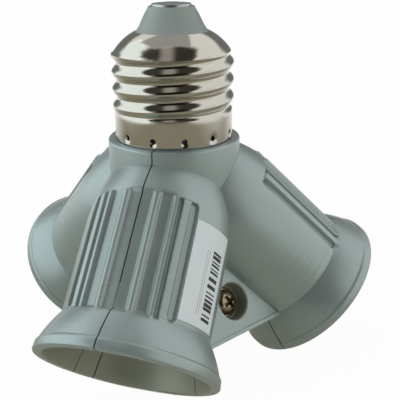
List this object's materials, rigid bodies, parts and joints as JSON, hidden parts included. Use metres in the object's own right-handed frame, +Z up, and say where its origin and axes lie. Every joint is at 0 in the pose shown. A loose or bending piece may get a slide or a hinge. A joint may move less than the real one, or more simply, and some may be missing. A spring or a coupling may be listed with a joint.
{
  "type": "lamp socket adapter",
  "caption": "Lamp socket adapter with a screw cap above that feeds splayed, flared screw sockets below, in a ribbed grey housing.",
  "frame": {"origin": "on the cap's axis, in the plane where the cap's rim meets the collar of the housing", "axes": "+Z up along the cap towards its centre contact, socket 1 points out along -Y and down"},
  "size_m": [0.0872, 0.0807, 0.0818],
  "materials": {
    "housing": "semi-gloss cool grey moulding",
    "nickel": "bright nickel plate on rolled sheet",
    "insulator": "dull grey moulding",
    "contact_metal": "bright turned face",
    "strip_metal": "plain stamped strip",
    "screw_metal": "yellow passivated",
    "shell_metal": "plated sheet",
    "base_insulator": "dull moulding",
    "label_paper": "white paper sticker"
  },
  "bodies": {
    "root": {"cap_shell": "nickel", "cap_insert": "insulator", "centre_contact": "contact_metal", "neutral_ring": "strip_metal", "live_star": "strip_metal", "housing_segment_1": "housing", "housing_segment_2": "housing", "housing_segment_3": "housing", "bottom_cover": "housing", "web_screws": "screw_metal", "socket_shell_1": "shell_metal", "socket_shell_2": "shell_metal", "socket_shell_3": "shell_metal", "socket_base_1": "base_insulator", "socket_base_2": "base_insulator", "socket_base_3": "base_insulator", "contact_tongue_1": "strip_metal", "contact_tongue_2": "strip_metal", "contact_tongue_3": "strip_metal", "paper_label": "label_paper"}
  },
  "joints": []
}
